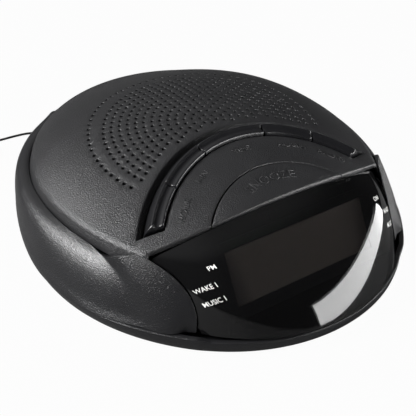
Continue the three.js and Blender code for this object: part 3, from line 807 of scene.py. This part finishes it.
# ---------------------------------------------------------- cheeks and rear
CHEEK_STATIONS = (150, 135, 120, 105, 90, 76, 64)
CHEEK_TIP = (
    ((-70.2, -31.5, 33.0), (-62.4, -39.6, 34.2)),
    ((-70.4, -47.9, 10.8), (-64.3, -56.2, 12.5), (-53.6, -56.6, 25.4)),
    ((-67.4, -52.8, 6.4), (-53.6, -64.3, 9.4)),
)


def side_lines(angle, out=0.0):
    """Points under the cover's wall, on the bulge and on the base rim."""
    angle = np.asarray(angle, float)
    top = (*on_outline(EDGE, angle, WALL_OUT + out), edge_z(angle) - WALL_DROP - GAP)
    waist = (*on_outline(WAIST, angle, out), waist_z(angle))
    foot = (*on_outline(BASE, angle, 0.3 + out), np.full_like(angle, RIM_FOOT))
    return [np.stack(np.broadcast_arrays(*line), -1) for line in (top, waist, foot)]


def through(a, m, b, v):
    """A curved strip through three lines, at v from 0 to 1."""
    v = v[..., None]
    pull = 2 * m - (a + b) / 2
    return a * (1 - v) ** 2 + pull * 2 * v * (1 - v) + b * v * v


CURVE_STEPS = 24


def centripetal(stations):
    """Points on a centripetal curve through the stations, and how far along each is."""
    p = np.vstack([2 * stations[0] - stations[1], stations, 2 * stations[-1] - stations[-2]])
    out = []
    for k in range(1, len(p) - 2):
        knots = [0.0]
        for i in range(k - 1, k + 2):
            knots.append(knots[-1] + np.linalg.norm(p[i + 1] - p[i]) ** 0.5)
        t0, t1, t2, t3 = knots
        for t in np.linspace(t1, t2, CURVE_STEPS, endpoint=False):
            a1 = (t1 - t) / (t1 - t0) * p[k - 1] + (t - t0) / (t1 - t0) * p[k]
            a2 = (t2 - t) / (t2 - t1) * p[k] + (t - t1) / (t2 - t1) * p[k + 1]
            a3 = (t3 - t) / (t3 - t2) * p[k + 1] + (t - t2) / (t3 - t2) * p[k + 2]
            b1 = (t2 - t) / (t2 - t0) * a1 + (t - t0) / (t2 - t0) * a2
            b2 = (t3 - t) / (t3 - t1) * a2 + (t - t1) / (t3 - t1) * a3
            out.append((t2 - t) / (t2 - t1) * b1 + (t - t1) / (t2 - t1) * b2)
    line = np.vstack(out + [p[-2]])
    far = np.concatenate([[0], np.cumsum(np.linalg.norm(np.diff(line, axis=0), axis=1))])
    return line, far / far[-1]


def hump(s):
    """Rises from 0 to 1 and falls back to 0 more slowly, for s from 0 to 1."""
    return 6.75 * s * (1 - s) ** 2


def shoulder(top, waist, along, v):
    """How far a cheek swells out, square to its slope."""
    slope = waist - top
    flat = np.linalg.norm(slope[..., :2], axis=-1)
    out = np.stack([-slope[..., 0] * slope[..., 2] / flat,
                    -slope[..., 1] * slope[..., 2] / flat, flat], -1)
    out /= np.linalg.norm(out, axis=-1, keepdims=True)
    ends = smooth(along, 0, 0.35) * (1 - smooth(along, 0.8, 1))
    swell = SHOULDER * ends * hump(np.minimum(v / SHOULDER_END, 1))
    return out * swell[..., None]


def cheek_surface(side):
    sides = side_lines(np.radians(CHEEK_STATIONS))
    lines = [centripetal(np.vstack([line, np.array(tip, float)]))
             for line, tip in zip(sides, CHEEK_TIP)]

    def surface(u, v):
        u = np.clip(u, 0, 1)
        a, m, b = (np.stack([np.interp(u, far, line[:, k]) for k in range(3)], -1)
                   for line, far in lines)
        p = through(a, m, b, v) + shoulder(a, m, u, v)
        p[..., 0] *= -side
        return p

    return surface


def lens_surface(u, v):
    """From the left end to the right, and from the brow down to the lower lip."""
    t = 2 * u - 1
    x_top, x_lip = (BROW_X - 0.6) * t, (LIP_X - 0.8) * t
    under = LENS_LOW + LENS_CORNER * t**8
    high = np.stack([x_top, brow_y(x_top) - GAP, dome(x_top, brow_y(x_top)) - under], -1)
    low = np.stack([x_lip, LIP_Y - np.sqrt(LIP_R**2 - x_lip**2),
                    np.full_like(x_lip, LIP_Z)], -1)
    swell = 1 - t**12
    pull = (high + low) / 2 + np.stack([-0.5 * t, -1.5 - 5.5 * swell, 5 + 9 * swell], -1)
    v = v[..., None]
    return high * (1 - v) ** 2 + pull * 2 * v * (1 - v) + low * v * v


def lens_room():
    """The lens and a gap."""
    return add_mesh("lens_room", *skin(
        lambda u, v: lens_surface(1.016 * u - 0.008, 1.02 * v - 0.01),
        (-GAP, LENS_T + GAP), 60, 24))


def cover_room():
    """The cover's outside and a gap."""
    angle = np.linspace(0, 2 * np.pi, 180, endpoint=False)
    rings = []
    for scale in (0.18, 0.36, 0.54, 0.7, 0.83, 0.93, 0.985):
        x, y = on_outline(EDGE, angle, GAP)
        x, y = scale * x, EDGE[3] + scale * (y - EDGE[3])
        rings.append(np.column_stack([x, y, cover_z(x, y) + GAP]))
    for grow, drop in ((0.4, 1.2 - GAP), (WALL_OUT, WALL_DROP + GAP)):
        x, y = on_outline(EDGE, angle, grow + GAP)
        rings.append(np.column_stack([x, y, edge_z(angle) - drop]))
    return add_mesh("cover_room", *loft(rings))


def rim_room():
    """The room below the sides, up to the base rim and a gap."""
    return add_mesh("rim_room", *block(200, 260, RIM_SIDE + GAP + 5, 0, 0, -5))


CHEEK_INSET = 0.04  # keeps the fine surface within the plain solid
BORES = ((4.4, GLAND_X), (2.8, WIRE_X))  # radius and place across


def build_sides():
    for name, side in (("left", -1), ("right", 1)):
        shell = skin(cheek_surface(side), (0, (WALL - CHEEK_INSET) * side), 90, 26)
        cheek = add_mesh(f"{name}_side", *shell)
        cut(cheek, cover_room(), lens_room(), rim_room())
        largest_part(cheek)
        shade(cheek, 40)
        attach(cheek, "case")
        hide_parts(f"{name}_cheek")
        dress(cheek, case_finish)

    def rear(u, v):
        angle = np.radians(150.4 + 59.2 * u)
        return through(*side_lines(angle, proud(angle)), v)

    panel = add_mesh("rear_shell", *skin(rear, (0, -WALL), 40, 18))
    bores = []
    for radius, x in BORES:
        angle = np.linspace(0, 2 * np.pi, 40, endpoint=False)
        rings = [np.column_stack([x + radius * np.cos(angle), np.full(40, y),
                                  OUTLET_Z + radius * np.sin(angle)]) for y in (77, 117)]
        bores.append(add_mesh("bore", *loft(rings, fan=False)))
    cut(panel, rim_room(), *bores)
    shade(panel, 40)
    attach(panel, "case")
    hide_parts("rear_panel")
    dress(panel, case_finish)


BATTERY_BAY = (49, 27, 10, 16, 60, 0)  # width, depth, height and place


def build_base():
    # Close points at the two steps beside the lens.
    away = np.concatenate([np.linspace(0, 35, 60), np.linspace(35.5, 41, 22),
                           np.linspace(42, 180, 100)])
    angle = np.radians(np.concatenate([away, 360 - away[-2:0:-1]]))
    beyond = from_front(angle)
    flare = smooth(beyond, 36, 40) * (0.3 + 0.7 * smooth(beyond, 45, 75))
    flare *= proud(angle) + 0.6 + 0.7 * smooth(beyond, 150, 172)

    def line(inset, z, share):
        x, y = on_outline(BASE, angle, flare * share - inset)
        return np.column_stack([x, y, np.broadcast_to(z, x.shape)])

    top = rim_top(angle)
    rings = [line(1.4, FOOT, 0), line(0.7, FOOT + 0.2, 0.15), line(0.3, FOOT + 0.8, 0.36),
             line(0.05, 4.6, 0.62), line(0, RIM_FOOT, 0.85), line(0, top - 0.6, 0.98),
             line(0.12, top - 0.2, 1), line(0.45, top, 1), line(WALL, top, 1),
             line(WALL + 0.6, FOOT + WALL, 0.4)]
    tray = add_mesh("base_shell", *loft(rings))
    bay = add_mesh("bay", *block(*BATTERY_BAY))
    cut(tray, bay)
    shade(tray, 40)
    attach(tray, "case")
    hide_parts("base_tray")
    dress(tray, case_finish)


def build_lens():
    lens = add_mesh("lens_shell", *skin(lens_surface, (0, LENS_T), 110, 46), sharp=50)
    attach(lens, "case")
    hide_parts("front_lens")
    dress(lens, lens_finish)


# ---------------------------------------------------------------- lettering
def letters(name, text, size, place, depth=0.0, width=0.02):
    """Letters as a mesh, with every point moved by place(x, y, level) in mm."""
    curve = bpy.data.curves.new(name, "FONT")
    curve.body = text
    curve.size = size
    curve.align_x = "CENTER"
    curve.align_y = "CENTER"
    curve.resolution_u = 3
    curve.extrude = depth
    curve.offset = width
    obj = bpy.data.objects.new(name, curve)
    scene.collection.objects.link(obj)
    mesh = bpy.data.meshes.new_from_object(
        obj.evaluated_get(bpy.context.evaluated_depsgraph_get()))
    bpy.data.objects.remove(obj)
    for v in mesh.vertices:
        x, y, z = place(v.co.x, v.co.y, v.co.z)
        v.co = Vector((x, y + SHIFT, z)) * MM
    made = bpy.data.objects.new(name, mesh)
    scene.collection.objects.link(made)
    return made


def on_dome(radius, angle, lift):
    """Places letters along an arc about the keys' centre."""
    def place(x, y, z):
        r = radius + y
        a = math.radians(angle) + x / radius
        px, py = r * math.sin(a), ARC_Y + r * math.cos(a)
        return px, py, float(cover_z(np.array(px), np.array(py))) + lift + z
    return place


def on_lens(u0, v0, turn, lift):
    """Places letters on the lens; u0 and v0 are its surface's own coordinates."""
    u0, v0 = np.array(u0), np.array(v0)
    here = lens_surface(u0, v0)
    to_u = lens_surface(u0 + 1e-3, v0) - here
    to_v = lens_surface(u0, v0 + 1e-3) - here
    per_u = np.linalg.norm(to_u) * 1000
    per_v = np.linalg.norm(to_v) * 1000
    c, s = math.cos(math.radians(turn)), math.sin(math.radians(turn))

    def place(x, y, z):
        px, py = c * x - s * y, s * x + c * y
        u, v = u0 + px / per_u, v0 - py / per_v
        p = lens_surface(u, v)
        a = lens_surface(u + 1e-3, v) - p
        b = lens_surface(u, v + 1e-3) - p
        out = np.cross(b, a)
        out /= np.linalg.norm(out)
        if out[2] < 0 and out[1] > 0:
            out = -out
        return tuple(p + out * (lift + z))
    return place


KEY_LABELS = ("HOUR", "MIN", "TIME", "ALARM", "RADIO")
# Piece, words, place across and down the lens, and turn in degrees.
LENS_LABELS = (
    ("pm", "PM", 0.12, 0.36, 3), ("on", "ON", 0.88, 0.36, -3),
    ("wake_left", "WAKE 1", 0.07, 0.539, 7), ("wake_right", "WAKE 2", 0.93, 0.539, -7),
    ("music_left", "MUSIC 1", 0.075, 0.678, 12), ("music_right", "MUSIC 2", 0.925, 0.678, -12),
)


def build_lettering():
    for i, text in enumerate(KEY_LABELS):
        middle = (KEY_ENDS[i] + KEY_ENDS[i + 1]) / 2
        obj = letters(f"label_{KEY_NAMES[i]}", text, 4.2, on_dome(58.6, middle, 0.06), 0.22)
        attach(obj, "case")
        dress(obj, cover_finish)
    obj = letters("label_snooze", "SNOOZE", 6.4, on_dome(38.5, 0, 0.06), 0.24)
    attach(obj, "snooze_body")
    dress(obj, cover_finish)
    for name, text, u, v, turn in LENS_LABELS:
        obj = letters(f"print_{name}", text, 2.9, on_lens(u, v, turn, 0.05), 0.02, 0.015)
        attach(obj, "case")
        dress(obj, print_finish)


build_cover()
build_keys()
build_snooze()
build_sides()
build_base()
build_lens()
build_lettering()

# ------------------------------------------------- finishes of the CAD nodes
CAD_FINISHES = {
    "key_carrier": inner_finish, "display_bezel": inner_finish,
    "display_filter": filter_finish, "led_display": display_finish,
    "display_board": board_finish, "key_board": board_finish,
    "main_board": board_finish, "speaker_frame": steel_finish,
    "speaker_cone": cone_finish, "speaker_magnet": ferrite_finish,
    "speaker_dust_cap": cone_finish, "clock_chip": part_finish,
    "tuner_can": steel_finish, "filter_capacitor": part_finish,
    "ferrite_rod": ferrite_finish, "transformer_core": steel_finish,
    "transformer_coil": copper_finish, "backup_battery": battery_finish,
    "battery_clip": part_finish, "battery_door": case_finish,
    "mains_gland": rubber_finish, "aerial_grommet": rubber_finish,
    "case_screw": steel_finish, "foot_": rubber_finish, "switch_": part_finish,
}
for name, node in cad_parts.items():
    for start, look in CAD_FINISHES.items():
        if name.startswith(start):
            dress(node, look)

# ------------------------------------------------------------ floor and light
def paper_material():
    """Pale paper, mostly lit from behind to the eye, and dimmer in reflections."""
    material, nodes, links, shader = new_material("floor_paper")
    shader.inputs["Base Color"].default_value = (0.14, 0.14, 0.14, 1)
    shader.inputs["Roughness"].default_value = 0.9
    glow = nodes.new("ShaderNodeEmission")
    glow.inputs["Strength"].default_value = 1.0
    path = nodes.new("ShaderNodeLightPath")
    share = nodes.new("ShaderNodeMath")
    share.operation = "MULTIPLY"
    share.inputs[1].default_value = 0.97
    mix = nodes.new("ShaderNodeMixShader")
    links.new(path.outputs["Is Camera Ray"], share.inputs[0])
    links.new(share.outputs["Value"], mix.inputs["Fac"])
    links.new(shader.outputs["BSDF"], mix.inputs[1])
    links.new(glow.outputs["Emission"], mix.inputs[2])
    links.new(mix.outputs["Shader"], nodes["Material Output"].inputs["Surface"])
    return material


def build_floor():
    bpy.ops.mesh.primitive_plane_add(size=8.0, location=(0, 0, -0.0002))
    floor = bpy.context.object
    floor.name = "floor"
    floor.data.materials.append(paper_material())


def area_light(name, place, aim, size, power):
    data = bpy.data.lights.new(name, "AREA")
    data.shape = "RECTANGLE"
    data.size, data.size_y = size
    data.energy = power
    obj = bpy.data.objects.new(name, data)
    scene.collection.objects.link(obj)
    obj.location = Vector(place)
    obj.rotation_euler = (Vector(aim) - Vector(place)).to_track_quat("-Z", "Y").to_euler()


def build_world():
    """White to the eye; a bright ceiling and dim sides to the object."""
    world = bpy.data.worlds.new("surround")
    world.use_nodes = True
    scene.world = world
    nodes, links = world.node_tree.nodes, world.node_tree.links
    back = nodes["Background"]
    back.inputs["Color"].default_value = (1, 1, 1, 1)
    path = nodes.new("ShaderNodeLightPath")
    place = nodes.new("ShaderNodeTexCoord")
    height = nodes.new("ShaderNodeVectorMath")
    height.operation = "DOT_PRODUCT"
    height.inputs[1].default_value = (0, 0.6, 0.8)
    links.new(place.outputs["Generated"], height.inputs[0])
    ceiling = nodes.new("ShaderNodeMapRange")
    ceiling.interpolation_type = "SMOOTHSTEP"
    ceiling.inputs["From Min"].default_value = 0.6
    ceiling.inputs["From Max"].default_value = 0.95
    ceiling.inputs["To Min"].default_value = 0.01
    ceiling.inputs["To Max"].default_value = 0.22
    links.new(height.outputs["Value"], ceiling.inputs["Value"])
    level = nodes.new("ShaderNodeMix")
    links.new(path.outputs["Is Camera Ray"], level.inputs["Factor"])
    links.new(ceiling.outputs["Result"], level.inputs["A"])
    level.inputs["B"].default_value = 1.0
    links.new(level.outputs["Result"], back.inputs["Strength"])


build_floor()
build_world()
area_light("softbox_back", (-0.05, 0.95, 0.75), (0, 0, 0.03), (1.4, 0.7), 0.9)
area_light("softbox_left", (-0.75, 0.2, 0.6), (-0.07, -0.03, 0.03), (0.4, 0.25), 21)
area_light("softbox_right", (0.66, -0.56, 0.06), (0, -0.05, 0.03), (1.3, 0.34), 21)
scene.view_settings.view_transform = "Standard"
scene.view_settings.look = "None"
